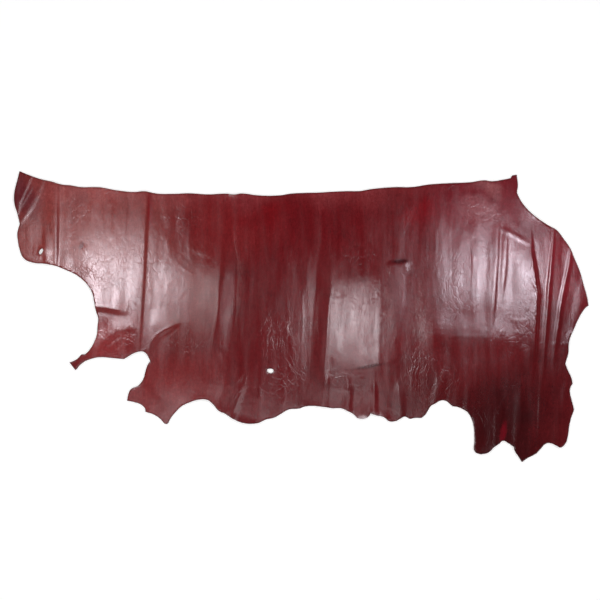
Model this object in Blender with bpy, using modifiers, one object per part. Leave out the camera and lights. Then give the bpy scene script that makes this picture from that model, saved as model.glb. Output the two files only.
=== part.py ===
"""A side of finished cattle leather: half a hide, cut along the backbone, laid out grain side up.

Blender 4.5, metres, +Z up. The hide lies on the surface z = 0 with its backbone edge towards +Y and its
neck towards -X. The origin is under the middle of its bounding box. The sheet is one solid: a fine flat grid
is raised along the folds, given its thickness, and cut out with a die that has the hide's outline and its
two flay holes.
"""

from typing import NamedTuple

import bmesh
import bpy
import numpy as np
from mathutils import Matrix, Vector

# Driving dimensions.
LENGTH = 2.400  # from the neck edge to the point of the rump, along the backbone
THICKNESS = 0.002  # finished leather, grain and flesh side together

# The plan is drawn on squares whose size follows from LENGTH. Plan x runs from neck to rump, plan y from the
# backbone to the belly, and one square is about 4.2 mm.
PLAN_LEFT, PLAN_RIGHT = 14.4, 588.5
PLAN_TOP, PLAN_BOTTOM = 171.2, 462.0
SQUARE = LENGTH / (PLAN_RIGHT - PLAN_LEFT)
MM = 0.001

# The grid that is folded, and how far its folds are thinned to fewer faces.
GRID_MARGIN = 0.02
COLUMN_PITCH = 0.0110
ROW_PITCH = 0.0290
KEPT_FACES = 0.18
FLOOR_SNAP = 0.0002  # anything lower than this lies flat on the floor

# The die that cuts the outline.
DIE_HALF_HEIGHT = 0.06
DIE_STEPS = 2

# A ridge fades out over this share of its length at each end, and narrows there to this share of its width.
END_FADE = 0.3
END_WIDTH = 0.35

# Each stretch of the edge starts at a sharp corner and runs smoothly through its other points, clockwise.
EDGE = {
    "backbone": (
        (19.7, 171.2), (30, 175.4), (41, 179.2), (52, 181.6), (62, 184.6), (70, 185.2), (80, 187.0),
        (100, 187.3), (116, 190.2), (135, 192.0), (144, 191.2), (157, 193.6), (176, 193.8), (190, 193.3),
        (208, 194.4), (227, 193.7), (234, 194.5), (242, 193.5), (257, 195.3), (280, 195.3), (291, 193.6),
        (317, 192.6), (347, 191.1), (360, 191.0), (370, 189.3), (395, 187.1), (412, 187.0), (430, 184.4),
        (450, 183.1), (470, 182.3), (484, 180.3), (492, 181.2), (505, 179.3),
    ),
    "tail_step": ((510.5, 178.2),),
    "tail_tab": ((511.8, 175.6),),
    "tail_head": (
        (516.6, 174.6), (517.9, 186.5), (517.0, 192.0), (519.5, 198.5), (524.5, 206.0), (530, 212),
        (540, 220), (550, 226.3), (556.5, 230), (564, 239.5), (570, 248), (574, 257.5), (580, 272),
        (584, 286.5), (587, 297),
    ),
    "rump_point": (
        (588.5, 305.5), (585, 308.3), (580.5, 314.8), (573.6, 329.5), (570.2, 337), (568.5, 344),
        (568.4, 352),
    ),
    "thigh": ((565.3, 363.8), (567.8, 370.5), (571, 377)),
    "thigh_bump": ((572.5, 383.4), (570.1, 388), (570, 393), (571.6, 400)),
    "hind_leg": (
        (574.1, 409.6), (571, 418), (569, 427), (567.7, 436), (565, 443.8), (560.2, 447.5), (556, 445.5),
        (550, 443.1), (546, 443.5), (541, 448.3), (536, 453.5), (528, 457.8),
    ),
    "hind_shank": ((521.8, 462.0), (518, 456), (514.2, 450)),
    "flank_notch": (
        (513.6, 446.8), (508, 443), (504.5, 441), (502, 441), (499.5, 443.3), (493.5, 447.5), (489, 452),
        (484, 453.8), (479, 453.9), (474.4, 451), (474.2, 441), (473.6, 427), (471.5, 419),
        (467.5, 412.3), (462, 408.8), (457, 406.9),
    ),
    "flank": (
        (452.3, 406.2), (449, 403.3), (446, 400.9), (440, 400.7), (435, 403.6), (431, 405.8),
        (428, 410.3), (425, 415),
    ),
    "belly_ruffle": (
        (421.5, 418), (414, 418), (410, 418.8), (405, 416.6), (400, 418.7), (396, 420.9), (388.7, 421.1),
        (385, 417.8), (381, 416.3), (375, 415),
    ),
    "belly": (
        (370.7, 413.3), (368.5, 416.5), (365.5, 418.3), (358.3, 418.4), (353, 413.8), (348, 411.2),
        (341, 408.2), (333, 408.2), (323, 406.7), (305, 406.4), (300, 408.4), (289, 409.4), (281, 413.8),
        (274, 417.6), (266, 419.5), (257.5, 423.1), (244, 423.1), (233, 418.8), (225, 413.6),
        (219.5, 411.3), (211, 402.2), (206.5, 399.5), (199, 399.5), (191, 401.8), (182, 406),
        (175, 412.8), (170, 419.3),
    ),
    "brisket_tip": ((168.5, 422.8), (166.3, 424), (160, 418.5), (154, 414.6)),
    "brisket_step": ((145.6, 411.8), (144.8, 408), (140.5, 404.3), (134, 402)),
    "brisket": (
        (127.1, 400.6), (128.8, 393), (130.8, 389.3), (138.5, 385.3), (143.5, 378.5), (145.6, 371),
        (148.3, 363.7),
    ),
    "elbow": ((150.3, 361.3), (148.8, 357.5), (144, 351.8), (141, 351.4), (134.5, 353), (129.5, 355.7)),
    "fore_leg": ((124, 359.1), (112, 358), (100, 357.2), (90, 359.3), (82.5, 363)),
    "fore_shank": ((75.6, 370.2),),
    "fore_shank_end": ((69.6, 362.4), (76, 359.7)),
    "fore_leg_step": ((81.8, 354.2),),
    "throat": (
        (85, 354.4), (89.5, 350), (94.8, 340.8), (97, 334), (97.6, 326), (98.3, 318.5), (95.8, 310.5),
        (94.3, 302), (92.4, 293), (88.5, 286), (83.5, 280.5), (76.5, 275), (65, 269.6), (56, 266),
        (45, 263.8), (33, 262.7), (24, 258.5), (20, 250.3), (17.8, 240), (17.5, 232.5),
    ),
    "neck_notch": ((19.9, 224), (17.7, 214.5), (14.7, 203), (14.6, 192.5), (16.8, 182.5)),
}

# The two flay holes, each a small closed run of smooth points.
HOLES = {
    "belly_hole": ((267.0, 370.0), (270.0, 368.7), (273.6, 370.2), (271.0, 373.1)),
    "neck_hole": ((39.8, 254.0), (40.0, 250.6), (42.7, 248.8), (42.5, 252.4)),
}


class Ridge(NamedTuple):
    """One fold that stands off the floor. Its crest runs through plan points, and the gentle side is on the
    right hand of someone who walks along it. Widths and height are in millimetres. A soft of 0 gives flat
    sides that meet in creases, and 1 a rounded wave."""

    name: str
    gentle: float
    steep: float
    height: float
    soft: float
    crest: tuple


RIDGES = (
    # Neck end.
    Ridge("neck_corner_curl", 26, 40, 6, 1.0, ((11, 150), (10, 192), (14, 230))),
    Ridge("corner_crease_outer", 14, 12, 1.3, 0.7, ((38, 160), (29, 181), (20, 202), (14, 216))),
    Ridge("corner_crease_inner", 24, 12, 0.8, 0.6, ((50, 168), (40, 188), (29, 209), (15, 233))),
    Ridge("neck_crease", 60, 14, 2.2, 0.3, ((57, 156), (56.5, 230), (55.5, 290))),
    Ridge("neck_wave", 110, 90, 1.4, 1.0, ((92, 165), (94, 215), (90, 262), (84, 290))),
    Ridge("shoulder_crease", 195, 10, 1.7, 0.3, ((148, 130), (146.5, 215), (143.5, 280), (136, 395))),
    Ridge("throat_fold", 150, 15, 1.6, 0.7, ((132, 314.5), (120, 311.5), (107, 308.5), (90, 307), (66, 305))),
    Ridge("arm_fold", 60, 16, 1.2, 0.8, ((140, 330), (128, 329), (116, 333), (104, 343), (92, 362))),
    Ridge("elbow_fold", 110, 20, 1.5, 0.8, ((186, 321), (172, 326), (159, 334), (150, 346), (145, 366))),
    # Forequarter.
    Ridge("wither_wave", 34, 34, 0.4, 0.9, ((166, 165), (167, 205), (172, 240))),
    Ridge("wither_wave_2", 40, 28, 0.6, 0.9, ((186, 160), (184, 205), (181, 255))),
    Ridge("rib_pucker", 40, 16, 0.35, 0.9, ((216, 257), (202, 253), (188, 247))),
    Ridge("rib_facet", 275, 70, 5.4, 0.1, ((226, 210), (220.5, 270), (218, 315), (212, 350), (202, 440))),
    Ridge("rib_wave", 44, 40, 0.6, 0.9, ((242, 160), (241, 210), (237, 270))),
    # Middle.
    Ridge("loin_facet", 200, 60, 4.2, 0.1, ((322, 440), (325, 365), (327.5, 320), (331, 280), (328, 215))),
    Ridge("loin_facet_2", 110, 205, 3.2, 0.1, ((376, 410), (379, 345), (380.5, 300), (381, 235))),
    Ridge("loin_pucker", 60, 14, 1.1, 0.6, ((384, 263), (397, 265), (412, 261))),
    Ridge("belly_crease", 90, 13, 0.6, 0.6, ((400, 359), (386, 364), (366, 369), (346, 371))),
    Ridge("belly_ruffle_1", 26, 26, 1.5, 0.9, ((328, 368), (325, 392), (322, 430))),
    Ridge("belly_ruffle_2", 24, 24, 2.0, 0.9, ((346, 372), (349, 394), (345, 435))),
    Ridge("belly_ruffle_3", 22, 20, 1.8, 0.9, ((374, 376), (374, 396), (375, 435))),
    Ridge("belly_ruffle_4", 30, 26, 2.0, 0.9, ((398, 378), (400, 402), (401, 440))),
    Ridge("belly_edge_1", 34, 30, 2.2, 0.9, ((248, 368), (238, 396), (228, 435))),
    Ridge("belly_edge_2", 30, 26, 1.4, 0.9, ((260, 382), (258, 405), (258, 440))),
    # Hindquarter.
    Ridge("croup_wave", 90, 70, 0.8, 0.9, ((434, 170), (436, 240), (434, 310), (428, 365))),
    Ridge("croup_facet_1", 62, 30, 0.7, 0.9, ((481, 190), (477.5, 250), (475.5, 300), (474, 345))),
    Ridge("croup_facet_2", 44, 16, 1.1, 0.8, ((499, 205), (496.5, 255), (493.5, 300), (490, 345))),
    Ridge("croup_facet_3", 26, 12, 0.8, 0.7, ((507, 218), (506, 245), (505, 268), (502, 300))),
    Ridge("croup_facet_4", 104, 11, 3.0, 0.3, ((531, 222), (532, 250), (537.5, 294), (535, 345), (530, 400))),
    Ridge("croup_cap", 16, 11, 0.5, 0.7, ((536, 248), (522, 240), (508, 232), (494, 227))),
    Ridge("thigh_crease_1", 12, 14, 1.6, 0.7, ((556, 205), (553, 240), (549, 285), (540, 400), (537, 475))),
    Ridge("thigh_crease_2", 13, 15, 1.5, 0.8, ((575, 225), (568, 268), (561, 305), (555, 345), (551, 380))),
    Ridge("rump_wave", 44, 44, 0.8, 1.0, ((594, 250), (580, 305), (568, 345), (560, 385))),
    Ridge("band_wave", 110, 90, 1.2, 1.0, ((530, 340), (495, 338), (465, 338), (436, 334), (402, 330))),
    Ridge("hock_ruffle_1", 26, 20, 0.9, 0.9, ((508, 390), (499, 415), (496, 465))),
    Ridge("hock_ruffle_2", 30, 26, 2.0, 0.9, ((567, 372), (562, 410), (553, 475))),
    Ridge("hock_ruffle_3", 30, 26, 1.6, 0.9, ((521, 370), (519, 410), (514, 485))),
    Ridge("flank_ruffle", 30, 26, 1.3, 0.9, ((448, 362), (438, 390), (430, 432))),
    Ridge("flank_ruffle_2", 26, 24, 1.2, 0.9, ((471, 374), (468, 400), (466, 432))),
)


def from_plan(x, y):
    """A plan point in metres, in the hide's own frame."""
    middle_x = (PLAN_LEFT + PLAN_RIGHT) / 2
    middle_y = (PLAN_TOP + PLAN_BOTTOM) / 2
    return Vector(((x - middle_x) * SQUARE, (middle_y - y) * SQUARE, 0))


def smooth_step(t):
    t = np.clip(t, 0, 1)
    return t * t * (3 - 2 * t)


def ridge_heights(points, ridge):
    """How high this ridge lifts each of the points, an array of x and y in metres."""
    crest = np.array([from_plan(x, y)[:2] for x, y in ridge.crest])
    starts, steps = crest[:-1], np.diff(crest, axis=0)
    lengths = np.linalg.norm(steps, axis=1)
    run_before = np.concatenate([[0], np.cumsum(lengths)[:-1]])
    nearest = np.full(len(points), np.inf)
    signed = np.zeros(len(points))
    along = np.zeros(len(points))
    for start, step, length, before in zip(starts, steps, lengths, run_before):
        offset = points - start
        share = np.clip(offset @ step / length**2, 0, 1)
        away = np.linalg.norm(offset - share[:, None] * step, axis=1)
        right_hand = offset @ np.array((step[1], -step[0])) > 0
        closer = away < nearest
        nearest = np.where(closer, away, nearest)
        signed = np.where(closer, np.where(right_hand, away, -away), signed)
        along = np.where(closer, before + share * length, along)
    whole = lengths.sum()
    ends = smooth_step(along / (END_FADE * whole)) * smooth_step((whole - along) / (END_FADE * whole))
    width = np.where(signed > 0, ridge.gentle, ridge.steep) * MM * (END_WIDTH + (1 - END_WIDTH) * ends)
    up = np.clip(1 - nearest / width, 0, 1)
    profile = (1 - ridge.soft) * up + ridge.soft * smooth_step(up)
    return ridge.height * MM * profile * ends


def folded_grid():
    """The uncut sheet: a flat grid raised along every ridge."""
    width = (PLAN_BOTTOM - PLAN_TOP) * SQUARE + 2 * GRID_MARGIN
    length = LENGTH + 2 * GRID_MARGIN
    bm = bmesh.new()
    bmesh.ops.create_grid(
        bm,
        x_segments=round(length / COLUMN_PITCH),
        y_segments=round(width / ROW_PITCH),
        size=0.5,
        matrix=Matrix.Diagonal((length, width, 1, 1)),
    )
    points = np.array([vertex.co[:2] for vertex in bm.verts])
    heights = sum(ridge_heights(points, ridge) for ridge in RIDGES)
    for vertex, height in zip(bm.verts, heights):
        vertex.co.z = height
    mesh = bpy.data.meshes.new("folded_grid")
    bm.to_mesh(mesh)
    bm.free()
    return mesh


def thinned(mesh, name, collection):
    """The same sheet with fewer faces where it is flat, and with its flats exactly on the floor."""
    grid = bpy.data.objects.new("folded_grid", mesh)
    collection.objects.link(grid)
    fewer = grid.modifiers.new("fewer faces where it is flat", "DECIMATE")
    fewer.ratio = KEPT_FACES
    evaluated = grid.evaluated_get(bpy.context.evaluated_depsgraph_get())
    sheet = bpy.data.meshes.new_from_object(evaluated)
    bpy.data.objects.remove(grid)
    sheet.name = name
    for vertex in sheet.vertices:
        vertex.co.z = vertex.co.z if vertex.co.z > FLOOR_SNAP else 0.0
    return sheet


def add_spline(curve, stretches):
    """A closed spline through the stretches, sharp at the first point of each and smooth at the others."""
    rows = [(x, y, at == 0 and len(stretches) > 1) for run in stretches for at, (x, y) in enumerate(run)]
    spline = curve.splines.new("BEZIER")
    spline.bezier_points.add(len(rows) - 1)
    for knot, (x, y, corner) in zip(spline.bezier_points, rows):
        knot.co = from_plan(x, y)
        knot.handle_left_type = knot.handle_right_type = "VECTOR" if corner else "AUTO"
    spline.use_cyclic_u = True


def outline_die(collection):
    """The steel-rule die: a tall prism of the outline, with the flay holes left out of it."""
    curve = bpy.data.curves.new("outline_die_curve", "CURVE")
    curve.dimensions = "2D"
    curve.fill_mode = "BOTH"
    curve.extrude = DIE_HALF_HEIGHT
    curve.resolution_u = DIE_STEPS
    add_spline(curve, tuple(EDGE.values()))
    for run in HOLES.values():
        add_spline(curve, (run,))
    drawn = bpy.data.objects.new("outline_die_curve", curve)
    collection.objects.link(drawn)
    bpy.context.view_layer.update()
    evaluated = drawn.evaluated_get(bpy.context.evaluated_depsgraph_get())
    mesh = bpy.data.meshes.new_from_object(evaluated)
    bm = bmesh.new()
    bm.from_mesh(mesh)
    bmesh.ops.remove_doubles(bm, verts=bm.verts, dist=1e-6)
    bmesh.ops.recalc_face_normals(bm, faces=bm.faces)
    bm.to_mesh(mesh)
    bm.free()
    die = bpy.data.objects.new("outline_die", mesh)
    die.matrix_world = drawn.matrix_world
    collection.objects.link(die)
    bpy.data.objects.remove(drawn)
    die.hide_render = True
    die.display_type = "WIRE"
    return die


def burgundy_leather():
    material = bpy.data.materials.new("burgundy_leather")
    material.use_nodes = True
    shader = material.node_tree.nodes["Principled BSDF"]
    shader.inputs["Base Color"].default_value = (0.115, 0.012, 0.014, 1)
    shader.inputs["Roughness"].default_value = 0.38
    shader.inputs["Metallic"].default_value = 0
    return material


def new_collection(name):
    collection = bpy.data.collections.new(name)
    bpy.context.scene.collection.children.link(collection)
    return collection


def build_hide(parts, cutters):
    hide = bpy.data.objects.new("hide", thinned(folded_grid(), "hide", parts))
    parts.objects.link(hide)
    hide.data.materials.append(burgundy_leather())

    thickness = hide.modifiers.new("leather thickness", "SOLIDIFY")
    thickness.thickness = THICKNESS
    thickness.offset = 1
    cut = hide.modifiers.new("cut to the outline", "BOOLEAN")
    cut.operation = "INTERSECT"
    cut.object = outline_die(cutters)
    return hide


def main():
    for obj in list(bpy.data.objects):
        bpy.data.objects.remove(obj)
    parts = new_collection("leather_hide")
    cutters = new_collection("cutters")
    build_hide(parts, cutters)


main()
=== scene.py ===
"""A side of finished cattle leather, laid out grain side up on a pale floor under soft studio lights."""
import math
from typing import NamedTuple

import bpy
import numpy as np
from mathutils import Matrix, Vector, noise
from mathutils.geometry import delaunay_2d_cdt


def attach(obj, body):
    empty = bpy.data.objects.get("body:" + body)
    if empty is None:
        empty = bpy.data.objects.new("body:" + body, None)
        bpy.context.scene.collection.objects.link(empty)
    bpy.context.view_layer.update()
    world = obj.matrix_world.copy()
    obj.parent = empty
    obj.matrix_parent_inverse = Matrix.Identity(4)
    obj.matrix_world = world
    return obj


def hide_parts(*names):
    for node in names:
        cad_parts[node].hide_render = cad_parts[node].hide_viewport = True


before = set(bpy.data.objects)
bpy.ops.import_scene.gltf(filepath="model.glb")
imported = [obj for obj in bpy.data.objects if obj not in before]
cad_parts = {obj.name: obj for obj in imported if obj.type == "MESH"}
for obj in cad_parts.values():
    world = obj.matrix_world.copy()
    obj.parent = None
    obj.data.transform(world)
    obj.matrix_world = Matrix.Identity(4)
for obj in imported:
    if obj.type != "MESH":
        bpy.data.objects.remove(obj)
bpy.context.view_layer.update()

# Driving dimensions, the same as the solid's.
LENGTH = 2.400  # from the neck edge to the point of the rump, along the backbone
THICKNESS = 0.002  # finished leather, grain and flesh side together

# The plan is drawn on squares whose size follows from LENGTH. Plan x runs from neck to rump, plan y from the
# backbone to the belly, and one square is about 4.2 mm.
PLAN_LEFT, PLAN_RIGHT = 14.4, 588.5
PLAN_TOP, PLAN_BOTTOM = 171.2, 462.0
SQUARE = LENGTH / (PLAN_RIGHT - PLAN_LEFT)
MM = 0.001

# The fine sheet's grid.
COLUMN_PITCH = 0.0056
ROW_PITCH = 0.0082
STAGGER = 0.25  # how far a row is shifted to its own side, as a share of the column pitch
EDGE_CLEAR = 0.5  # the grid's least distance from the cut edge, as a share of the column pitch
MERGE_DISTANCE = 1e-7
SHARP_ANGLE = 50  # degrees between faces that don't shade into each other
TINY = 1e-12  # keeps a division safe where a length may be 0

# The cut edge. Noise scales are in cells per metre, and a layer is the third coordinate at which the noise is
# read.
EDGE_STEPS = 5  # points between two knots of the outline
EDGE_NICK = 0.0007  # how far the knife wandered
NICK_SCALE = 90
NICK_LAYERS = (3, 8)  # for the wander in x and in y
EDGE_ROUND = 0.0005  # the grain side's rounded cut edge

# The sheet's materials, in the order in which it gets them.
GRAIN_SLOT, EDGE_SLOT, FLESH_SLOT = 0, 1, 2

# Where the sheet lies without a fold, in millimetres: its height, and the edges that lift here and there.
REST_HEIGHT = 1.0
EDGE_LIFT = 3.2
LIFT_BIAS = 0.1  # added to the noise, so that rather more than half of the edge lifts
LIFT_SCALE = 7
LIFT_LAYER = 21.5
LIFT_REACH = 0.016  # metres in from the cut edge over which the lift dies away

# A ridge fades out over this share of its length at each end, and narrows there to this share of its width.
END_FADE = 0.3
END_WIDTH = 0.35

# Each stretch of the edge starts at a sharp corner and runs smoothly through its other points, clockwise.
EDGE = {
    "backbone": (
        (19.7, 171.2), (30, 175.4), (41, 179.2), (52, 181.6), (62, 184.6), (70, 185.2), (80, 187.0),
        (100, 187.3), (116, 190.2), (135, 192.0), (144, 191.2), (157, 193.6), (176, 193.8), (190, 193.3),
        (208, 194.4), (227, 193.7), (234, 194.5), (242, 193.5), (257, 195.3), (280, 195.3), (291, 193.6),
        (317, 192.6), (347, 191.1), (360, 191.0), (370, 189.3), (395, 187.1), (412, 187.0), (430, 184.4),
        (450, 183.1), (470, 182.3), (484, 180.3), (492, 181.2), (505, 179.3),
    ),
    "tail_step": ((510.5, 178.2),),
    "tail_tab": ((511.8, 175.6),),
    "tail_head": (
        (516.6, 174.6), (517.9, 186.5), (517.0, 192.0), (519.5, 198.5), (524.5, 206.0), (530, 212),
        (540, 220), (550, 226.3), (556.5, 230), (564, 239.5), (570, 248), (574, 257.5), (580, 272),
        (584, 286.5), (587, 297),
    ),
    "rump_point": (
        (588.5, 305.5), (585, 308.3), (580.5, 314.8), (573.6, 329.5), (570.2, 337), (568.5, 344),
        (568.4, 352),
    ),
    "thigh": ((565.3, 363.8), (567.8, 370.5), (571, 377)),
    "thigh_bump": ((572.5, 383.4), (570.1, 388), (570, 393), (571.6, 400)),
    "hind_leg": (
        (574.1, 409.6), (571, 418), (569, 427), (567.7, 436), (565, 443.8), (560.2, 447.5), (556, 445.5),
        (550, 443.1), (546, 443.5), (541, 448.3), (536, 453.5), (528, 457.8),
    ),
    "hind_shank": ((521.8, 462.0), (518, 456), (514.2, 450)),
    "flank_notch": (
        (513.6, 446.8), (508, 443), (504.5, 441), (502, 441), (499.5, 443.3), (493.5, 447.5), (489, 452),
        (484, 453.8), (479, 453.9), (474.4, 451), (474.2, 441), (473.6, 427), (471.5, 419),
        (467.5, 412.3), (462, 408.8), (457, 406.9),
    ),
    "flank": (
        (452.3, 406.2), (449, 403.3), (446, 400.9), (440, 400.7), (435, 403.6), (431, 405.8),
        (428, 410.3), (425, 415),
    ),
    "belly_ruffle": (
        (421.5, 418), (414, 418), (410, 418.8), (405, 416.6), (400, 418.7), (396, 420.9), (388.7, 421.1),
        (385, 417.8), (381, 416.3), (375, 415),
    ),
    "belly": (
        (370.7, 413.3), (368.5, 416.5), (365.5, 418.3), (358.3, 418.4), (353, 413.8), (348, 411.2),
        (341, 408.2), (333, 408.2), (323, 406.7), (305, 406.4), (300, 408.4), (289, 409.4), (281, 413.8),
        (274, 417.6), (266, 419.5), (257.5, 423.1), (244, 423.1), (233, 418.8), (225, 413.6),
        (219.5, 411.3), (211, 402.2), (206.5, 399.5), (199, 399.5), (191, 401.8), (182, 406),
        (175, 412.8), (170, 419.3),
    ),
    "brisket_tip": ((168.5, 422.8), (166.3, 424), (160, 418.5), (154, 414.6)),
    "brisket_step": ((145.6, 411.8), (144.8, 408), (140.5, 404.3), (134, 402)),
    "brisket": (
        (127.1, 400.6), (128.8, 393), (130.8, 389.3), (138.5, 385.3), (143.5, 378.5), (145.6, 371),
        (148.3, 363.7),
    ),
    "elbow": ((150.3, 361.3), (148.8, 357.5), (144, 351.8), (141, 351.4), (134.5, 353), (129.5, 355.7)),
    "fore_leg": ((124, 359.1), (112, 358), (100, 357.2), (90, 359.3), (82.5, 363)),
    "fore_shank": ((75.6, 370.2),),
    "fore_shank_end": ((69.6, 362.4), (76, 359.7)),
    "fore_leg_step": ((81.8, 354.2),),
    "throat": (
        (85, 354.4), (89.5, 350), (94.8, 340.8), (97, 334), (97.6, 326), (98.3, 318.5), (95.8, 310.5),
        (94.3, 302), (92.4, 293), (88.5, 286), (83.5, 280.5), (76.5, 275), (65, 269.6), (56, 266),
        (45, 263.8), (33, 262.7), (24, 258.5), (20, 250.3), (17.8, 240), (17.5, 232.5),
    ),
    "neck_notch": ((19.9, 224), (17.7, 214.5), (14.7, 203), (14.6, 192.5), (16.8, 182.5)),
}

# The two flay holes, each a small closed run of smooth points.
HOLES = {
    "belly_hole": ((267.0, 370.0), (270.0, 368.7), (273.6, 370.2), (271.0, 373.1)),
    "neck_hole": ((39.8, 254.0), (40.0, 250.6), (42.7, 248.8), (42.5, 252.4)),
}


class Ridge(NamedTuple):
    """One fold that stands off the floor. Its crest runs through plan points, and the gentle side is on the
    right hand of someone who walks along it. Widths and height are in millimetres. A soft of 0 gives flat
    sides that meet in creases, and 1 a rounded wave."""

    name: str
    gentle: float
    steep: float
    height: float
    soft: float
    crest: tuple


RIDGES = (
    # Neck end.
    Ridge("neck_corner_curl", 26, 40, 6, 1.0, ((11, 150), (10, 192), (14, 230))),
    Ridge("corner_crease_outer", 14, 12, 1.3, 0.7, ((38, 160), (29, 181), (20, 202), (14, 216))),
    Ridge("corner_crease_inner", 24, 12, 0.8, 0.6, ((50, 168), (40, 188), (29, 209), (15, 233))),
    Ridge("neck_crease", 60, 14, 2.2, 0.3, ((57, 156), (56.5, 230), (55.5, 290))),
    Ridge("neck_wave", 110, 90, 1.4, 1.0, ((92, 165), (94, 215), (90, 262), (84, 290))),
    Ridge("shoulder_crease", 195, 10, 1.7, 0.3, ((148, 130), (146.5, 215), (143.5, 280), (136, 395))),
    Ridge("throat_fold", 150, 15, 1.6, 0.7, ((132, 314.5), (120, 311.5), (107, 308.5), (90, 307), (66, 305))),
    Ridge("arm_fold", 60, 16, 1.2, 0.8, ((140, 330), (128, 329), (116, 333), (104, 343), (92, 362))),
    Ridge("elbow_fold", 110, 20, 1.5, 0.8, ((186, 321), (172, 326), (159, 334), (150, 346), (145, 366))),
    # Forequarter.
    Ridge("wither_wave", 34, 34, 0.4, 0.9, ((166, 165), (167, 205), (172, 240))),
    Ridge("wither_wave_2", 40, 28, 0.6, 0.9, ((186, 160), (184, 205), (181, 255))),
    Ridge("rib_pucker", 40, 16, 0.35, 0.9, ((216, 257), (202, 253), (188, 247))),
    Ridge("rib_facet", 275, 70, 5.4, 0.1, ((226, 210), (220.5, 270), (218, 315), (212, 350), (202, 440))),
    Ridge("rib_wave", 44, 40, 0.6, 0.9, ((242, 160), (241, 210), (237, 270))),
    # Middle.
    Ridge("loin_facet", 200, 60, 4.2, 0.1, ((322, 440), (325, 365), (327.5, 320), (331, 280), (328, 215))),
    Ridge("loin_facet_2", 110, 205, 3.2, 0.1, ((376, 410), (379, 345), (380.5, 300), (381, 235))),
    Ridge("loin_pucker", 60, 14, 1.1, 0.6, ((384, 263), (397, 265), (412, 261))),
    Ridge("belly_crease", 90, 13, 0.6, 0.6, ((400, 359), (386, 364), (366, 369), (346, 371))),
    Ridge("belly_ruffle_1", 26, 26, 1.5, 0.9, ((328, 368), (325, 392), (322, 430))),
    Ridge("belly_ruffle_2", 24, 24, 2.0, 0.9, ((346, 372), (349, 394), (345, 435))),
    Ridge("belly_ruffle_3", 22, 20, 1.8, 0.9, ((374, 376), (374, 396), (375, 435))),
    Ridge("belly_ruffle_4", 30, 26, 2.0, 0.9, ((398, 378), (400, 402), (401, 440))),
    Ridge("belly_edge_1", 34, 30, 2.2, 0.9, ((248, 368), (238, 396), (228, 435))),
    Ridge("belly_edge_2", 30, 26, 1.4, 0.9, ((260, 382), (258, 405), (258, 440))),
    # Hindquarter.
    Ridge("croup_wave", 90, 70, 0.8, 0.9, ((434, 170), (436, 240), (434, 310), (428, 365))),
    Ridge("croup_facet_1", 62, 30, 0.7, 0.9, ((481, 190), (477.5, 250), (475.5, 300), (474, 345))),
    Ridge("croup_facet_2", 44, 16, 1.1, 0.8, ((499, 205), (496.5, 255), (493.5, 300), (490, 345))),
    Ridge("croup_facet_3", 26, 12, 0.8, 0.7, ((507, 218), (506, 245), (505, 268), (502, 300))),
    Ridge("croup_facet_4", 104, 11, 3.0, 0.3, ((531, 222), (532, 250), (537.5, 294), (535, 345), (530, 400))),
    Ridge("croup_cap", 16, 11, 0.5, 0.7, ((536, 248), (522, 240), (508, 232), (494, 227))),
    Ridge("thigh_crease_1", 12, 14, 1.6, 0.7, ((556, 205), (553, 240), (549, 285), (540, 400), (537, 475))),
    Ridge("thigh_crease_2", 13, 15, 1.5, 0.8, ((575, 225), (568, 268), (561, 305), (555, 345), (551, 380))),
    Ridge("rump_wave", 44, 44, 0.8, 1.0, ((594, 250), (580, 305), (568, 345), (560, 385))),
    Ridge("band_wave", 110, 90, 1.2, 1.0, ((530, 340), (495, 338), (465, 338), (436, 334), (402, 330))),
    Ridge("hock_ruffle_1", 26, 20, 0.9, 0.9, ((508, 390), (499, 415), (496, 465))),
    Ridge("hock_ruffle_2", 30, 26, 2.0, 0.9, ((567, 372), (562, 410), (553, 475))),
    Ridge("hock_ruffle_3", 30, 26, 1.6, 0.9, ((521, 370), (519, 410), (514, 485))),
    Ridge("flank_ruffle", 30, 26, 1.3, 0.9, ((448, 362), (438, 390), (430, 432))),
    Ridge("flank_ruffle_2", 26, 24, 1.2, 0.9, ((471, 374), (468, 400), (466, 432))),
)

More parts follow.
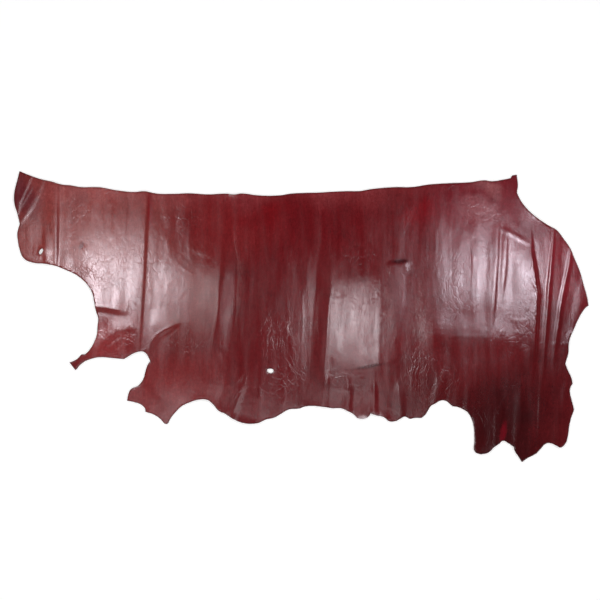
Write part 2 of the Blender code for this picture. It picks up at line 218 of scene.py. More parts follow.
# Narrow wrinkles and puckers that are too fine for the solid.
WRINKLES = (
    Ridge("corner_line", 6, 10, 0.6, 0.5, ((36, 180), (27, 196), (18, 212))),
    Ridge("corner_line_2", 8, 6, 0.5, 0.5, ((45, 184), (34, 205), (22, 224))),
    Ridge("neck_patch", 14, 32, 0.9, 0.7, ((45, 226), (46, 248), (46, 276))),
    Ridge("neck_curl", 6, 6, 0.42, 0.7, ((33, 238), (36, 246), (34, 254), (40, 262))),
    Ridge("neck_dent", 10, 8, 0.72, 0.7, ((78, 242), (83, 246), (88, 254))),
    Ridge("neck_band_1", 18, 18, 0.36, 0.9, ((68, 180), (67, 215), (68, 250))),
    Ridge("neck_band_2", 22, 10, 0.36, 0.7, ((112, 186), (111, 215), (112, 250))),
    Ridge("neck_band_3", 14, 14, 0.36, 0.9, ((126, 188), (126, 215), (124, 245))),
    Ridge("shoulder_lip", 8, 7, 0.08, 0.7, ((146.5, 190), (145.5, 240), (142.5, 300), (138.5, 352))),
    Ridge("throat_lip", 8, 6, 0.4, 0.7, ((126, 314), (114, 309), (100, 307), (92, 308))),
    Ridge("arm_lip", 8, 6, 0.45, 0.6, ((124, 337), (114, 344), (104, 354))),
    Ridge("elbow_lip", 9, 7, 0.5, 0.6, ((180, 324), (166, 329), (155, 337), (148, 348))),
    Ridge("scar_1", 6, 5, 0.3, 0.7, ((176, 262), (186, 270), (196, 276))),
    Ridge("scar_2", 7, 6, 0.1, 0.7, ((190, 247), (197, 253), (208, 254))),
    Ridge("rib_line", 8, 5, 0.15, 0.5, ((219, 276), (219, 305), (214, 330), (211, 352))),
    Ridge("rib_line_2", 9, 6, 0.2, 0.6, ((190, 206), (189, 240), (191, 270))),
    Ridge("flank_streak_1", 10, 7, 0.21, 0.7, ((313, 248), (307, 265), (307, 296))),
    Ridge("flank_streak_2", 9, 9, 0.21, 0.7, ((287, 288), (288, 315), (286, 345))),
    Ridge("flank_streak_3", 9, 9, 0.21, 0.7, ((302, 288), (303, 318), (301, 350))),
    Ridge("flank_streak_4", 10, 8, 0.21, 0.7, ((319, 285), (318, 320), (320, 350))),
    Ridge("loin_edge", 7, 6, 0.5, 0.5, ((326, 268), (333, 284), (329, 302), (327, 345), (321, 402))),
    Ridge("loin_lip", 6, 5, 0.2, 0.6, ((377, 276), (377, 320), (374, 344), (369, 356))),
    Ridge("loin_inner", 6, 6, 0.36, 0.6, ((365, 318), (366, 335), (364, 350))),
    Ridge("loin_wrinkle_1", 6, 6, 0.3, 0.8, ((328, 297), (338, 299), (350, 296))),
    Ridge("loin_wrinkle_2", 6, 6, 0.25, 0.8, ((329, 304), (337, 306), (343, 305))),
    Ridge("loin_wrinkle_3", 6, 6, 0.15, 0.8, ((330, 317), (336, 318), (342, 316))),
    Ridge("loin_pinch", 7, 6, 0.25, 0.6, ((388, 265), (399, 268), (410, 264))),
    Ridge("belly_lip", 7, 6, 0.2, 0.5, ((352, 369), (370, 365), (386, 361))),
    Ridge("belly_wrinkle_1", 8, 7, 0.3, 0.8, ((326, 378), (350, 376), (372, 379))),
    Ridge("belly_wrinkle_2", 8, 7, 0.3, 0.8, ((328, 387), (346, 390), (360, 387))),
    Ridge("belly_pucker_1", 8, 9, 0.78, 0.6, ((324, 380), (323, 395), (322, 412))),
    Ridge("belly_pucker_2", 8, 8, 0.66, 0.6, ((346, 382), (347, 398), (345, 414))),
    Ridge("belly_pucker_3", 8, 8, 0.78, 0.6, ((374, 384), (374, 400), (372, 416))),
    Ridge("belly_pucker_4", 8, 8, 0.54, 0.6, ((412, 366), (412, 378), (411, 392))),
    Ridge("belly_pucker_5", 8, 8, 0.54, 0.6, ((437, 368), (437, 378), (436, 388))),
    Ridge("edge_pucker_1", 7, 8, 0.66, 0.6, ((241, 386), (236, 394), (230, 404))),
    Ridge("edge_pucker_2", 8, 7, 0.66, 0.6, ((241, 392), (237, 402), (232, 416))),
    Ridge("edge_pucker_3", 7, 8, 0.54, 0.6, ((284, 385), (285, 397), (283, 408))),
    Ridge("edge_pucker_4", 7, 7, 0.42, 0.6, ((296, 392), (295, 402), (295, 410))),
    Ridge("croup_streak_1", 10, 7, 0.2, 0.6, ((435, 222), (436, 245), (434, 268))),
    Ridge("croup_streak_2", 10, 7, 0.16, 0.6, ((449, 215), (450, 260), (448, 320))),
    Ridge("croup_streak_3", 8, 7, 0.2, 0.6, ((472, 228), (473, 265), (471, 305))),
    Ridge("croup_streak_4", 9, 7, 0.2, 0.6, ((489, 230), (490, 265), (488, 308))),
    Ridge("croup_lip", 7, 6, 0.32, 0.6, ((503, 232), (503.5, 252), (501, 282))),
    Ridge("croup_corner", 8, 7, 0.15, 0.7, ((498, 228), (510, 234), (526, 243))),
    Ridge("thigh_scallop_1", 7, 6, 0.78, 0.5, ((531, 243), (530, 254), (533, 264), (529, 275))),
    Ridge("thigh_scallop_2", 7, 6, 0.9, 0.5, ((529, 278), (536, 287), (540, 296), (534, 303))),
    Ridge("thigh_lip_1", 6, 7, 0.6, 0.6, ((555, 226), (551, 262), (548, 288), (546, 315))),
    Ridge("thigh_lip_2", 7, 7, 0.55, 0.6, ((570, 260), (564, 282), (560, 302), (556, 334))),
    Ridge("thigh_line", 7, 7, 0.35, 0.7, ((541, 345), (539, 390), (538, 448))),
    Ridge("band_line", 7, 6, 0.18, 0.5, ((418, 333), (450, 336), (480, 337), (506, 336))),
    Ridge("knee_band", 9, 8, 0.4, 0.6, ((545, 346), (556, 344), (570, 345))),
    Ridge("knee_wrinkle_1", 7, 9, 0.3, 0.8, ((506, 317), (516, 321), (528, 320))),
    Ridge("knee_wrinkle_2", 9, 7, 0.3, 0.8, ((509, 331), (520, 334), (531, 331))),
    Ridge("knee_wrinkle_3", 7, 7, 0.25, 0.8, ((512, 345), (520, 349), (530, 349))),
    Ridge("hock_line_1", 7, 7, 0.3, 0.6, ((495, 412), (495, 426), (493, 442))),
    Ridge("hock_line_2", 7, 7, 0.3, 0.6, ((503, 418), (504, 430), (502, 440))),
)


def from_plan(x, y):
    """A plan point in metres, in the hide's own frame."""
    middle_x = (PLAN_LEFT + PLAN_RIGHT) / 2
    middle_y = (PLAN_TOP + PLAN_BOTTOM) / 2
    return Vector(((x - middle_x) * SQUARE, (middle_y - y) * SQUARE, 0))


def smooth_step(t):
    t = np.clip(t, 0, 1)
    return t * t * (3 - 2 * t)


def ridge_heights(points, ridge):
    """How high this ridge lifts each of the points, an array of x and y in metres."""
    crest = np.array([from_plan(x, y)[:2] for x, y in ridge.crest])
    starts, steps = crest[:-1], np.diff(crest, axis=0)
    lengths = np.linalg.norm(steps, axis=1)
    run_before = np.concatenate([[0], np.cumsum(lengths)[:-1]])
    nearest = np.full(len(points), np.inf)
    signed = np.zeros(len(points))
    along = np.zeros(len(points))
    for start, step, length, before in zip(starts, steps, lengths, run_before):
        offset = points - start
        share = np.clip(offset @ step / length**2, 0, 1)
        away = np.linalg.norm(offset - share[:, None] * step, axis=1)
        right_hand = offset @ np.array((step[1], -step[0])) > 0
        closer = away < nearest
        nearest = np.where(closer, away, nearest)
        signed = np.where(closer, np.where(right_hand, away, -away), signed)
        along = np.where(closer, before + share * length, along)
    whole = lengths.sum()
    ends = smooth_step(along / (END_FADE * whole)) * smooth_step((whole - along) / (END_FADE * whole))
    width = np.where(signed > 0, ridge.gentle, ridge.steep) * MM * (END_WIDTH + (1 - END_WIDTH) * ends)
    up = np.clip(1 - nearest / width, 0, 1)
    profile = (1 - ridge.soft) * up + ridge.soft * smooth_step(up)
    return ridge.height * MM * profile * ends


# The sheet's shape.


def add_spline(curve, stretches):
    """A closed spline through the stretches, sharp at the first point of each and smooth at the others."""
    rows = [(x, y, at == 0 and len(stretches) > 1) for run in stretches for at, (x, y) in enumerate(run)]
    spline = curve.splines.new("BEZIER")
    spline.bezier_points.add(len(rows) - 1)
    for knot, (x, y, corner) in zip(spline.bezier_points, rows):
        knot.co = from_plan(x, y)
        knot.handle_left_type = knot.handle_right_type = "VECTOR" if corner else "AUTO"
    spline.use_cyclic_u = True


def drawn_loop(stretches):
    """One closed run of points, an array of x and y, cut with a slightly unsteady knife."""
    curve = bpy.data.curves.new("drawn_loop", "CURVE")
    curve.dimensions = "2D"
    curve.fill_mode = "NONE"
    curve.resolution_u = EDGE_STEPS
    add_spline(curve, stretches)
    drawn = bpy.data.objects.new("drawn_loop", curve)
    mesh = bpy.data.meshes.new_from_object(drawn)
    points = np.array([vertex.co[:2] for vertex in mesh.vertices])
    bpy.data.objects.remove(drawn)
    bpy.data.meshes.remove(mesh)
    wander = [
        [noise.noise(Vector((x * NICK_SCALE, y * NICK_SCALE, layer))) for layer in NICK_LAYERS]
        for x, y in points
    ]
    return points + EDGE_NICK * np.array(wander)


def inside_and_distance(points, loops):
    """Whether each point lies on the leather, and how far it is from the nearest cut edge."""
    odd = np.zeros(len(points), bool)
    nearest = np.full(len(points), np.inf)
    for loop in loops:
        for a, b in zip(loop, np.roll(loop, -1, axis=0)):
            step = b - a
            offset = points - a
            share = np.clip(offset @ step / max(step @ step, TINY), 0, 1)
            nearest = np.minimum(nearest, np.linalg.norm(offset - share[:, None] * step, axis=1))
            spans = (a[1] > points[:, 1]) != (b[1] > points[:, 1])
            cut_x = a[0] + (points[:, 1] - a[1]) * step[0] / (step[1] or TINY)
            odd ^= spans & (points[:, 0] < cut_x)
    return odd, nearest


def layout():
    """The triangulated plan of the sheet: points, triangles, and each point's distance from the cut edge."""
    loops = [drawn_loop(tuple(EDGE.values()))] + [drawn_loop((run,)) for run in HOLES.values()]
    low, high = loops[0].min(axis=0), loops[0].max(axis=0)
    columns = np.arange(low[0], high[0], COLUMN_PITCH)
    rows = np.arange(low[1], high[1], ROW_PITCH)
    x, y = np.meshgrid(columns, rows)
    x = x + np.where(np.arange(len(rows)) % 2, STAGGER, -STAGGER)[:, None] * COLUMN_PITCH
    field = np.column_stack([x.ravel(), y.ravel()])
    inside, distance = inside_and_distance(field, loops)
    keep = inside & (distance > EDGE_CLEAR * COLUMN_PITCH)
    edges = []
    first = 0
    for loop in loops:
        count = len(loop)
        edges += [(first + i, first + (i + 1) % count) for i in range(count)]
        first += count
    points = np.concatenate(loops + [field[keep]])
    far = np.concatenate([np.zeros(first), distance[keep]])
    _, _, faces, sources, _, _ = delaunay_2d_cdt([Vector(p) for p in points], edges, [], 0, MERGE_DISTANCE)
    came_from = np.array([source[0] for source in sources])
    triangles = came_from[np.array(faces)]

    # A triangle between edge points only may span a notch or a hole.
    doubtful = np.flatnonzero((triangles < first).all(axis=1))
    on_leather, _ = inside_and_distance(points[triangles[doubtful]].mean(axis=1), loops)
    triangles = np.delete(triangles, doubtful[~on_leather], axis=0)
    return points, triangles, far


class Wave(NamedTuple):
    """One layer of the faint undulation: its height in millimetres, and its noise scales and layer."""

    height: float
    along: float
    across: float
    layer: float


WAVES = (
    Wave(0.9, 5.5, 1.3, 0.7),
    Wave(0.55, 16, 4.5, 4.1),
    Wave(0.17, 42, 17, 9.3),
)


def undulation(points, edge_distance):
    """The sheet never lies dead flat: faint waves along its length, and edges that lift here and there."""
    waves = np.zeros(len(points))
    for wave in WAVES:
        spots = [Vector((x * wave.along, y * wave.across, wave.layer)) for x, y in points]
        waves += [wave.height * noise.noise(spot) for spot in spots]
    spots = [Vector((x * LIFT_SCALE, y * LIFT_SCALE, LIFT_LAYER)) for x, y in points]
    lift = np.array([max(0.0, noise.noise(spot) + LIFT_BIAS) for spot in spots])
    curl = EDGE_LIFT * lift * np.exp(-edge_distance / LIFT_REACH)
    return (REST_HEIGHT + waves + curl) * MM


def height_field(points, edge_distance):
    """The height of the flesh side above the floor at each point."""
    heights = sum(ridge_heights(points, ridge) for ridge in RIDGES + WRINKLES)
    return np.maximum(heights + undulation(points, edge_distance), 0)


def turn_up(points, triangles):
    """Turn each triangle to face up. Returns their normals, each as long as twice the triangle's area."""
    corners = points[triangles]
    facing = np.cross(corners[:, 1] - corners[:, 0], corners[:, 2] - corners[:, 0])
    flipped = facing[:, 2] < 0
    triangles[flipped] = triangles[flipped][:, ::-1]
    facing[flipped] *= -1
    return facing


def point_normals(points, triangles, facing):
    normals = np.zeros_like(points)
    for corner in range(3):
        np.add.at(normals, triangles[:, corner], facing)
    return normals / np.linalg.norm(normals, axis=1)[:, None]


def cut_rim(triangles):
    """The sides that belong to one triangle only, each in the triangle's own order."""
    sides = np.concatenate([triangles[:, [0, 1]], triangles[:, [1, 2]], triangles[:, [2, 0]]])
    keys = dict.fromkeys(tuple(side) for side in sides)
    return [(a, b) for a, b in keys if (b, a) not in keys]


def build_sheet():
    """The hide as one closed mesh. Returns it and the area of its grain side."""
    plan, triangles, edge_distance = layout()
    count = len(plan)
    under = np.column_stack([plan, height_field(plan, edge_distance)])
    facing = turn_up(under, triangles)
    grain = under + point_normals(under, triangles, facing) * THICKNESS

    # The rounded cut: the grain side's rim moves in, and a shoulder below it keeps the full width.
    rim = cut_rim(triangles)
    after = dict(rim)
    before = {b: a for a, b in rim}
    rim_points = np.array(sorted(after))
    along = plan[[after[p] for p in rim_points]] - plan[[before[p] for p in rim_points]]
    along /= np.maximum(np.linalg.norm(along, axis=1), TINY)[:, None]
    inward = np.column_stack([-along[:, 1], along[:, 0]])
    shoulder = grain[rim_points].copy()
    shoulder[:, 2] -= EDGE_ROUND
    grain[rim_points, :2] += inward * EDGE_ROUND
    shoulder_of = {p: 2 * count + i for i, p in enumerate(rim_points)}

    points = np.concatenate([grain, under, shoulder])
    faces = [tuple(t) for t in triangles]
    faces += [(c + count, b + count, a + count) for a, b, c in triangles]
    faces += [(shoulder_of[a], shoulder_of[b], b, a) for a, b in rim]
    faces += [(a + count, b + count, shoulder_of[b], shoulder_of[a]) for a, b in rim]
    which = [GRAIN_SLOT] * len(triangles) + [FLESH_SLOT] * len(triangles)
    which += [GRAIN_SLOT] * len(rim) + [EDGE_SLOT] * len(rim)

    mesh = bpy.data.meshes.new("leather_side")
    mesh.from_pydata([tuple(p) for p in points], [], faces)
    mesh.polygons.foreach_set("material_index", which)
    edge_attribute = mesh.attributes.new("edge_distance", "FLOAT", "POINT")
    edge_attribute.data.foreach_set("value", np.concatenate([edge_distance, edge_distance, np.zeros(len(shoulder))]))
    mesh.validate()
    mesh.shade_smooth()
    mesh.set_sharp_from_angle(angle=math.radians(SHARP_ANGLE))
    sheet = bpy.data.objects.new("leather_side", mesh)
    bpy.context.scene.collection.objects.link(sheet)
    return sheet, np.linalg.norm(facing, axis=1).sum() / 2


# Materials.

MIX_A, MIX_B, MIX_RESULT = 6, 7, 2  # the colour sockets of a Mix node


class Nodes:
    """Short ways to add shader nodes to one material."""

    def __init__(self, name):
        self.material = bpy.data.materials.new(name)
        self.material.use_nodes = True
        self.tree = self.material.node_tree
        self.shader = self.tree.nodes["Principled BSDF"]

    def put(self, value, socket):
        if isinstance(value, bpy.types.NodeSocket):
            self.tree.links.new(value, socket)
        else:
            socket.default_value = value

    def math(self, operation, a, b, clamp=False):
        node = self.tree.nodes.new("ShaderNodeMath")
        node.operation = operation
        node.use_clamp = clamp
        self.put(a, node.inputs[0])
        self.put(b, node.inputs[1])
        return node.outputs[0]

    def vector_math(self, operation, *values):
        node = self.tree.nodes.new("ShaderNodeVectorMath")
        node.operation = operation
        for value, socket in zip(values, node.inputs):
            self.put(value, socket)
        return node.outputs[0]

    def span(self, value, low, high, to_low=0.0, to_high=1.0, smooth=True):
        node = self.tree.nodes.new("ShaderNodeMapRange")
        node.interpolation_type = "SMOOTHSTEP" if smooth else "LINEAR"
        self.put(value, node.inputs["Value"])
        self.put(low, node.inputs["From Min"])
        self.put(high, node.inputs["From Max"])
        self.put(to_low, node.inputs["To Min"])
        self.put(to_high, node.inputs["To Max"])
        return node.outputs["Result"]

    def mix(self, share, a, b, blend="MIX"):
        node = self.tree.nodes.new("ShaderNodeMix")
        node.data_type = "RGBA"
        node.blend_type = blend
        self.put(share, node.inputs["Factor"])
        self.put(a, node.inputs[MIX_A])
        self.put(b, node.inputs[MIX_B])
        return node.outputs[MIX_RESULT]

    def coordinates(self, warp=None):
        """Object coordinates in metres, moved by the warp where there is one."""
        where = self.tree.nodes.new("ShaderNodeTexCoord").outputs["Object"]
        return where if warp is None else self.vector_math("ADD", where, warp)

    def place(self, scale=(1, 1, 1), location=(0, 0, 0), warp=None):
        mapping = self.tree.nodes.new("ShaderNodeMapping")
        self.put(self.coordinates(warp), mapping.inputs["Vector"])
        mapping.inputs["Scale"].default_value = scale
        mapping.inputs["Location"].default_value = location
        return mapping.outputs[0]

    def noise(self, where, scale, detail=2.0, rough=0.5, colour=False):
        node = self.tree.nodes.new("ShaderNodeTexNoise")
        self.put(where, node.inputs["Vector"])
        node.inputs["Scale"].default_value = scale
        node.inputs["Detail"].default_value = detail
        node.inputs["Roughness"].default_value = rough
        return node.outputs["Color" if colour else "Fac"]

    def cells(self, where, scale, feature="DISTANCE_TO_EDGE"):
        node = self.tree.nodes.new("ShaderNodeTexVoronoi")
        node.feature = feature
        self.put(where, node.inputs["Vector"])
        node.inputs["Scale"].default_value = scale
        return node.outputs["Distance"]

    def zone(self, centre, radii, softness, turn=0.0, warp=None):
        """1 at a plan point, falling to 0 over an ellipse about it, whose radii are in plan squares."""
        mapping = self.tree.nodes.new("ShaderNodeMapping")
        mapping.vector_type = "TEXTURE"
        self.put(self.coordinates(warp), mapping.inputs["Vector"])
        mapping.inputs["Location"].default_value = from_plan(*centre)
        mapping.inputs["Scale"].default_value = (radii[0] * SQUARE, radii[1] * SQUARE, 1)
        mapping.inputs["Rotation"].default_value = (0, 0, math.radians(turn))
        ball = self.tree.nodes.new("ShaderNodeTexGradient")
        ball.gradient_type = "SPHERICAL"
        self.put(mapping.outputs[0], ball.inputs[0])
        return self.span(ball.outputs["Fac"], 0, softness)

    def bump(self, height, depth, strength, normal=None):
        node = self.tree.nodes.new("ShaderNodeBump")
        node.inputs["Distance"].default_value = depth
        node.inputs["Strength"].default_value = strength
        self.put(height, node.inputs["Height"])
        if normal is not None:
            self.put(normal, node.inputs["Normal"])
        return node.outputs[0]


BASE_DYE = (0.112, 0.0062, 0.0084)
COLOUR_GAIN = 1.31  # COLOUR_GAIN = 1.31 # brightens every colour of the dye and of the painted shade to suit the studio's light
ZONE_SOFTNESS = 0.8  # share of its radius, counted from its rim, over which a zone rises to full
SMALL_PATCH_SOFTNESS = 0.7
WARP = 0.22  # metres over which the noise moves the zones' borders


class Zone(NamedTuple):
    """A patch where the dye took differently, or where shade is painted into the dye. Centre and radii are in
    plan squares, the turn in degrees.
    """

    name: str
    centre: tuple
    radii: tuple
    turn: float
    strength: float
    colour: tuple


ZONES = (
    Zone("neck_rubbed_brown", (70, 230), (150, 110), 0, 0.9, (0.214, 0.034, 0.030)),
    Zone("crest_rubbed", (120, 184), (130, 30), 0, 0.8, (0.285, 0.062, 0.060)),
    # Painted shade in the curled neck corner.
    Zone("neck_corner_painted_shade", (17, 194), (26, 40), 20, 0.8, (0.092, 0.011, 0.017)),
    Zone("shoulder_brown", (165, 270), (90, 130), 0, 0.6, (0.165, 0.021, 0.019)),
    Zone("fore_leg_red", (104, 336), (50, 44), 0, 0.8, (0.235, 0.024, 0.025)),
    Zone("brisket_red", (165, 390), (90, 60), 0, 0.7, (0.198, 0.020, 0.021)),
    Zone("back_saturated", (310, 225), (150, 60), 0, 0.9, (0.118, 0.0036, 0.006)),
    Zone("wither_red", (225, 226), (76, 56), 0, 0.7, (0.172, 0.010, 0.012)),
    Zone("backbone_red", (290, 180), (210, 34), 0, 0.9, (0.200, 0.022, 0.026)),
    Zone("backbone_saturated", (418, 214), (26, 18), 0, 0.9, (0.158, 0.0014, 0.004)),
    Zone("withers_saturated", (262, 218), (40, 16), 0, 0.6, (0.150, 0.0016, 0.004)),
    Zone("croup_red", (500, 220), (110, 90), 0, 0.85, (0.165, 0.011, 0.018)),
    Zone("tail_rubbed", (480, 210), (26, 18), 0, 0.7, (0.250, 0.075, 0.085)),
    Zone("tail_rubbed_edge", (484, 186), (20, 12), 0, 0.7, (0.260, 0.075, 0.080)),
    Zone("rump_red", (568, 270), (46, 58), 0, 0.8, (0.205, 0.014, 0.022)),
    Zone("flank_dark", (475, 380), (100, 66), 0, 0.6, (0.102, 0.0048, 0.0066)),
    Zone("flank_low", (424, 396), (60, 46), 0, 0.7, (0.066, 0.0042, 0.0052)),
    Zone("shank_dark", (504, 430), (84, 88), 0, 0.9, (0.032, 0.0015, 0.0023)),
    Zone("thigh_dark", (560, 372), (46, 100), 0, 0.75, (0.075, 0.0038, 0.0056)),
    Zone("belly_dark", (330, 385), (80, 45), 0, 0.4, (0.078, 0.0065, 0.0078)),
)

# Small marks in the dye, and painted shade: darker dye laid along the loin pucker, in the neck dent and along
# the shoulder, neck and belly creases, where shade falls. Only the hock's red patch is the dye's own colour.
# Their places aren't warped.
STAINS_AND_PAINTED_SHADE = (
    # Painted shadow under the loin pucker.
    Zone("pucker_shadow", (400, 261.3), (13, 3.4), 3, 0.9, (0.040, 0.001, 0.003)),
    # Painted shade in the neck dent.
    Zone("neck_dent_shade", (81.5, 246), (3.0, 5.5), -25, 0.7, (0.080, 0.016, 0.022)),
    # Painted shade along the shoulder crease.
    Zone("shoulder_crease_shade", (150.3, 209), (4.2, 30), 0, 0.8, (0.165, 0.005, 0.0075)),
    # Painted shade along the neck crease.
    Zone("neck_crease_shade", (57.2, 240), (3.0, 44), 0, 0.8, (0.140, 0.009, 0.010)),
    # Painted shade along the belly crease.
    Zone("belly_crease_shade", (369, 366.3), (22, 2.8), 10, 0.8, (0.050, 0.003, 0.0045)),
    Zone("hock_red", (503, 433), (4.5, 16), -10, 0.7, (0.150, 0.002, 0.008)),
)


class Variation(NamedTuple):
    """A layer of noise that multiplies the dye by a tint, from not at all where the noise is low to the most
    where it is high. Stretch and shift place the noise, and its scale is in cells per metre of the stretched
    coordinates."""

    name: str
    stretch: tuple
    shift: tuple
    scale: float
    detail: float
    rough: float
    low: float
    high: float
    most: float
    smooth: bool
    tint: tuple


VARIATIONS = (
    Variation("blotch", (1, 1, 1), (0, 0, 0), 9, 5, 0.6, 0.42, 0.75, 0.45, True, (0.55, 0.62, 0.64, 1)),
    Variation("streak", (75, 5, 1), (0, 0, 0), 1, 4, 0.65, 0.50, 0.78, 0.28, True, (1.65, 2.4, 2.2, 1)),
    Variation("fine", (260, 40, 1), (0, 0, 0), 1, 2, 0.5, 0.5, 0.8, 0.45, True, (0.40, 0.44, 0.48, 1)),
    Variation("mottle", (1, 1, 1), (0, 0, 0), 115, 4, 0.7, 0.38, 0.66, 0.6, False, (0.62, 0.60, 0.62, 1)),
    Variation("pale", (1, 0.7, 1), (5, 2, 0), 90, 4, 0.7, 0.50, 0.74, 0.6, False, (1.40, 1.95, 1.90, 1)),
)

SPECK_CELLS = 46  # per metre, one speck at most in each
SPECK_COLOUR = (0.020, 0.004, 0.005, 1)
SPECK_STRENGTH = 0.75
# The grain side turns darker within this reach of the cut edge.
EDGE_DARK_REACH = 0.008  # metres from the cut edge
EDGE_DARK_COLOUR = (0.030, 0.004, 0.006, 1)
EDGE_DARK_STRENGTH = 0.4

# Fine relief, in cells per metre, and how far the pebbles' pattern is bent, in metres.
PEBBLE_CELLS = 330
VEIN_CELLS = 42
CRINKLE_CELLS = 105
DIMPLE_CELLS = 34
PEBBLE_BEND = 0.004

# The glaze: its least and greatest roughness.
GLAZE_LOW, GLAZE_HIGH = 0.10, 0.20


class Patch(NamedTuple):
    """A place where the grain is crinkled. Centre and radii are in plan squares."""

    name: str
    centre: tuple
    radii: tuple
    strength: float


CRINKLES = (
    Patch("neck_gloss", (116, 266), (40, 46), 0.36),
    Patch("neck_edge", (80, 272), (26, 16), 0.8),
    Patch("throat", (118, 335), (30, 26), 0.5),
    Patch("stifle", (530, 306), (24, 52), 0.35),
    Patch("knee", (514, 344), (40, 24), 0.35),
    Patch("flank", (430, 374), (44, 30), 0.6),
    Patch("belly", (348, 383), (34, 18), 0.5),
    Patch("tail_corner", (482, 214), (30, 24), 0.5),
)


def brightened(colour):
    return tuple(COLOUR_GAIN * part for part in colour) + (1,)


def dye_and_painted_shade(m, warp):
    """The grain side's colour: rubbed and darker zones, painted shade in the curled neck corner and along
    creases, puckers and a dent, small marks, variation, specks and a darker band along the cut edge.
    """
    colour = brightened(BASE_DYE)
    for zone in ZONES:
        mask = m.zone(zone.centre, zone.radii, ZONE_SOFTNESS, zone.turn, warp)
        colour = m.mix(m.math("MULTIPLY", mask, zone.strength), colour, brightened(zone.colour))
    for mark_or_shade in STAINS_AND_PAINTED_SHADE:
        mask = m.zone(mark_or_shade.centre, mark_or_shade.radii, SMALL_PATCH_SOFTNESS, mark_or_shade.turn)
        colour = m.mix(m.math("MULTIPLY", mask, mark_or_shade.strength), colour, brightened(mark_or_shade.colour))
    for layer in VARIATIONS:
        level = m.noise(m.place(layer.stretch, layer.shift), layer.scale, layer.detail, layer.rough)
        share = m.span(level, layer.low, layer.high, 0.0, layer.most, layer.smooth)
        colour = m.mix(share, colour, layer.tint, "MULTIPLY")

    specks = m.cells(m.place(), SPECK_CELLS, feature="F1")
    rare = m.noise(m.place(location=(3, 1, 0)), 14, detail=1)
    speck = m.math("MULTIPLY", m.span(specks, 0.05, 0.09, 1.0, 0.0), m.span(rare, 0.60, 0.68))
    colour = m.mix(m.math("MULTIPLY", speck, SPECK_STRENGTH), colour, SPECK_COLOUR)

    edge = m.tree.nodes.new("ShaderNodeAttribute")
    edge.attribute_name = "edge_distance"
    near_edge = m.span(edge.outputs["Fac"], 0.0, EDGE_DARK_REACH, 1.0, 0.0)
    return m.mix(m.math("MULTIPLY", near_edge, EDGE_DARK_STRENGTH), colour, EDGE_DARK_COLOUR)


def relief(m, warp):
    """The grain side's normal: pebbles, the fine lines between them, crinkles, draw lines and dimples."""
    bend = m.noise(m.place(), 60, detail=2, colour=True)
    bent = m.vector_math("MULTIPLY", bend, (PEBBLE_BEND, PEBBLE_BEND, 0))
    pebble = m.span(m.cells(m.place((1, 0.8, 1), warp=bent), PEBBLE_CELLS), 0.0, 0.28)
    vein = m.span(m.cells(m.place((1, 0.55, 1), warp=warp), VEIN_CELLS), 0.0, 0.10)
    crinkled = 0.0
    for patch in CRINKLES:
        mask = m.zone(patch.centre, patch.radii, SMALL_PATCH_SOFTNESS, warp=warp)
        crinkled = m.math("ADD", m.math("MULTIPLY", mask, patch.strength), crinkled, clamp=True)
    where_veined = m.span(m.noise(m.place(location=(8, 0, 0)), 5.5, detail=2), 0.50, 0.70, 0.0, 0.6)
    vein = m.mix(m.math("MAXIMUM", where_veined, crinkled), (1, 1, 1, 1), vein)
    crinkle = m.noise(m.place((1, 0.75, 1), warp=bent), CRINKLE_CELLS, detail=3, rough=0.55)
    crinkle = m.math("MULTIPLY", crinkle, crinkled)
    draw = m.noise(m.place((95, 4, 1)), 1.0, detail=5, rough=0.6)
    dimple = m.noise(m.place((1, 0.6, 1), warp=warp), DIMPLE_CELLS, detail=3, rough=0.55)

    # Depth in millimetres, and strength.
    normal = m.bump(pebble, 0.22 * MM, 0.14)
    normal = m.bump(vein, 0.9 * MM, 0.24, normal)
    normal = m.bump(crinkle, 1.6 * MM, 0.30, normal)
    normal = m.bump(draw, 1.4 * MM, 0.08, normal)
    return m.bump(dimple, 1.6 * MM, 0.16, normal)


def grain_leather():
    """The grain side: glazed burgundy leather."""
    m = Nodes("grain_leather")
    drift = m.noise(m.place(), 5.0, detail=3, colour=True)
    warp = m.vector_math("MULTIPLY_ADD", drift, (WARP, WARP, 0), (-WARP / 2, -WARP / 2, 0))
    m.put(dye_and_painted_shade(m, warp), m.shader.inputs["Base Color"])
    m.put(relief(m, warp), m.shader.inputs["Normal"])
    rubbed = m.noise(m.place((30, 4, 1)), 1.0, detail=4)
    gloss = m.span(rubbed, 0.3, 0.7, GLAZE_LOW, GLAZE_HIGH, smooth=False)
    m.put(gloss, m.shader.inputs["Roughness"])
    m.shader.inputs["Specular IOR Level"].default_value = 0.9
    m.shader.inputs["Specular Tint"].default_value = (1.0, 0.92, 0.95, 1)
    return m.material


def cut_edge():
    """The knife-cut edge: the dyed fibre core."""
    m = Nodes("cut_edge")
    fibre = m.noise(m.place(), 900, detail=3)
    colour = m.mix(fibre, (0.030, 0.006, 0.007, 1), (0.085, 0.022, 0.020, 1))
    m.put(colour, m.shader.inputs["Base Color"])
    m.put(m.bump(fibre, 0.3 * MM, 0.6), m.shader.inputs["Normal"])
    m.shader.inputs["Roughness"].default_value = 0.8
    return m.material


def flesh_side():
    """The underside: napped suede, dyed through but paler."""
    m = Nodes("flesh_side")
    nap = m.noise(m.place(), 1400, detail=3)
    cloud = m.noise(m.place(), 11, detail=4)
    colour = m.mix(cloud, (0.20, 0.062, 0.058, 1), (0.33, 0.125, 0.112, 1))
    colour = m.mix(m.math("MULTIPLY", nap, 0.5), colour, (0.12, 0.035, 0.033, 1))
    m.put(colour, m.shader.inputs["Base Color"])
    m.put(m.bump(nap, 0.5 * MM, 0.7), m.shader.inputs["Normal"])
    m.shader.inputs["Roughness"].default_value = 0.95
    m.shader.inputs["Sheen Weight"].default_value = 0.35
    return m.material


# The studio.

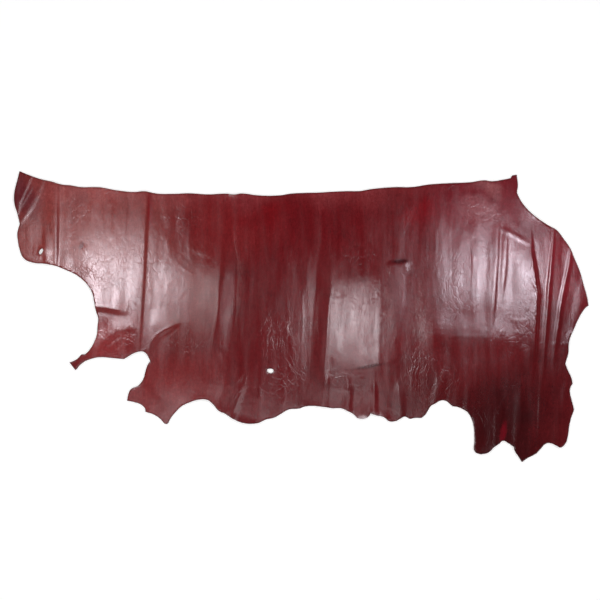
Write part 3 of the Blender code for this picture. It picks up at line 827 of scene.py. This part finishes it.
CAMERA_HEIGHT = 4.0
FRAME_CENTRE = (300, 300)  # plan point in the middle of the picture
FRAME_SPAN = 600 * SQUARE  # width of what the camera sees on the floor
LIGHT_HEIGHT = 3.5
FLOOR_HALF = 9.0  # half of the floor's side
FLOOR_DROP = 0.0004  # keeps the floor's face clear of the leather

# How bright the surroundings are by the height of the direction, from 0 at the horizon to 1 overhead: the two
# heights between which the strength changes, and the strengths there.
WORLD_RISE = (0.3, 0.52, 0.15, 2.79)
WORLD_FALL = (0.5, 0.75, 1.0, 0.01)


class Softbox(NamedTuple):
    """A soft light overhead whose reflection falls on a plan point. The size is that of the reflection, in
    plan squares."""

    name: str
    falls_on: tuple
    size: tuple
    radiance: float
    tint: tuple


SOFTBOXES = (
    Softbox("neck_core", (108, 282), (48, 34), 26.0, (1, 0.99, 1.03)),
    Softbox("neck_halo", (84, 260), (110, 76), 2.6, (1, 1, 1)),
    Softbox("rib_core", (187, 295), (48, 44), 3.5, (1, 1.03, 1)),
    Softbox("loin_core", (354, 322), (36, 38), 11.2, (1, 1, 1.02)),
    Softbox("loin_rim", (355, 320), (46, 52), 6.6, (1, 1, 1.02)),
    Softbox("loin_halo", (356, 352), (40, 56), 1.5, (1, 1, 1)),
    Softbox("croup_core", (504, 275), (48, 42), 20.0, (1, 0.99, 1.08)),
    Softbox("croup_halo", (490, 270), (96, 80), 2.3, (1, 0.99, 1.06)),
    Softbox("belly_low", (250, 450), (340, 64), 2.1, (1, 1, 1)),
)


def link(obj):
    bpy.context.scene.collection.objects.link(obj)
    return obj


def add_camera():
    data = bpy.data.cameras.new("camera")
    data.sensor_fit = "HORIZONTAL"
    data.angle = 2 * math.atan(FRAME_SPAN / 2 / CAMERA_HEIGHT)
    camera = link(bpy.data.objects.new("camera", data))
    camera.location = from_plan(*FRAME_CENTRE) + Vector((0, 0, CAMERA_HEIGHT))
    bpy.context.scene.camera = camera
    return camera


def add_softbox(box, camera):
    """Placed so that a flat hide would mirror it to the camera at the plan point."""
    spread = 1 + LIGHT_HEIGHT / CAMERA_HEIGHT
    data = bpy.data.lights.new(box.name, "AREA")
    data.shape = "RECTANGLE"
    data.size = box.size[0] * SQUARE * spread
    data.size_y = box.size[1] * SQUARE * spread
    data.color = box.tint
    data.energy = box.radiance * math.pi * data.size * data.size_y
    light = link(bpy.data.objects.new(box.name, data))
    point = from_plan(*box.falls_on)
    over = point * spread - Vector((camera.location.x, camera.location.y, 0)) * (spread - 1)
    light.location = (over.x, over.y, LIGHT_HEIGHT)
    light.visible_camera = False


def add_floor():
    mesh = bpy.data.meshes.new("floor")
    corners = [(x * FLOOR_HALF, y * FLOOR_HALF, 0) for x, y in ((-1, -1), (1, -1), (1, 1), (-1, 1))]
    mesh.from_pydata(corners, [], [(0, 1, 2, 3)])
    floor = link(bpy.data.objects.new("floor", mesh))
    floor.location.z = -FLOOR_DROP
    m = Nodes("pale_floor")
    m.shader.inputs["Base Color"].default_value = (0.9, 0.9, 0.895, 1)
    m.shader.inputs["Roughness"].default_value = 0.95
    m.shader.inputs["Specular IOR Level"].default_value = 0.1
    m.shader.inputs["Emission Color"].default_value = (1, 1, 1, 1)
    m.shader.inputs["Emission Strength"].default_value = 0.25
    floor.data.materials.append(m.material)


def add_world():
    """Bright all round at half height, dim at the horizon and dark overhead, so the lacquer mirrors only the
    softboxes to the camera and stays dark from low down too."""
    world = bpy.data.worlds.new("studio")
    bpy.context.scene.world = world
    world.use_nodes = True
    tree = world.node_tree
    where = tree.nodes.new("ShaderNodeTexCoord")
    axes = tree.nodes.new("ShaderNodeSeparateXYZ")
    tree.links.new(where.outputs["Generated"], axes.inputs[0])
    strength = tree.nodes.new("ShaderNodeMath")
    strength.operation = "MULTIPLY"
    for slot, (low, high, at_low, at_high) in enumerate((WORLD_RISE, WORLD_FALL)):
        ramp = tree.nodes.new("ShaderNodeMapRange")
        ramp.interpolation_type = "SMOOTHSTEP"
        ramp.inputs["From Min"].default_value = low
        ramp.inputs["From Max"].default_value = high
        ramp.inputs["To Min"].default_value = at_low
        ramp.inputs["To Max"].default_value = at_high
        tree.links.new(axes.outputs["Z"], ramp.inputs["Value"])
        tree.links.new(ramp.outputs["Result"], strength.inputs[slot])
    tree.nodes["Background"].inputs["Color"].default_value = (1, 0.995, 0.985, 1)
    tree.links.new(strength.outputs[0], tree.nodes["Background"].inputs["Strength"])


sheet, area = build_sheet()
for material in (grain_leather(), cut_edge(), flesh_side()):
    sheet.data.materials.append(material)
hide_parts("hide")
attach(sheet, "root")

camera = add_camera()
for box in SOFTBOXES:
    add_softbox(box, camera)
add_floor()
add_world()
bpy.context.scene.view_settings.view_transform = "Standard"
